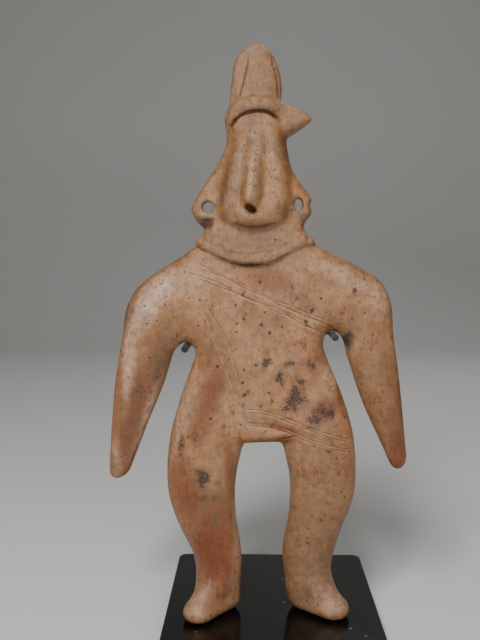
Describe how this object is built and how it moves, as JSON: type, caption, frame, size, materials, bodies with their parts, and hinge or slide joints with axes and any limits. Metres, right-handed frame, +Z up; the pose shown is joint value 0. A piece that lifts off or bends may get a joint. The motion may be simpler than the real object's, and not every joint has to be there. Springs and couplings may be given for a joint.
{
  "type": "flat clay figurine on stand",
  "caption": "Flat fired-clay standing figure with a tall cap, a side horn and pierced ears, hung by its armpits on the hooks of a black plate stand.",
  "frame": {"origin": "centre of the plate's underside, on the surface that the stand rests on", "axes": "+Z up, the figure faces -Y, +X to the viewer's right"},
  "size_m": [0.1406, 0.1016, 0.2772],
  "materials": {
    "clay": "burnished slip, satin",
    "plate": "polished",
    "rod": "satin black",
    "sleeve": "smooth"
  },
  "bodies": {
    "root": {"figurine": "clay", "stand_plate": "plate", "stand_rod_left": "rod", "stand_rod_right": "rod", "hook_sleeve_left": "sleeve", "hook_sleeve_right": "sleeve"}
  },
  "joints": []
}
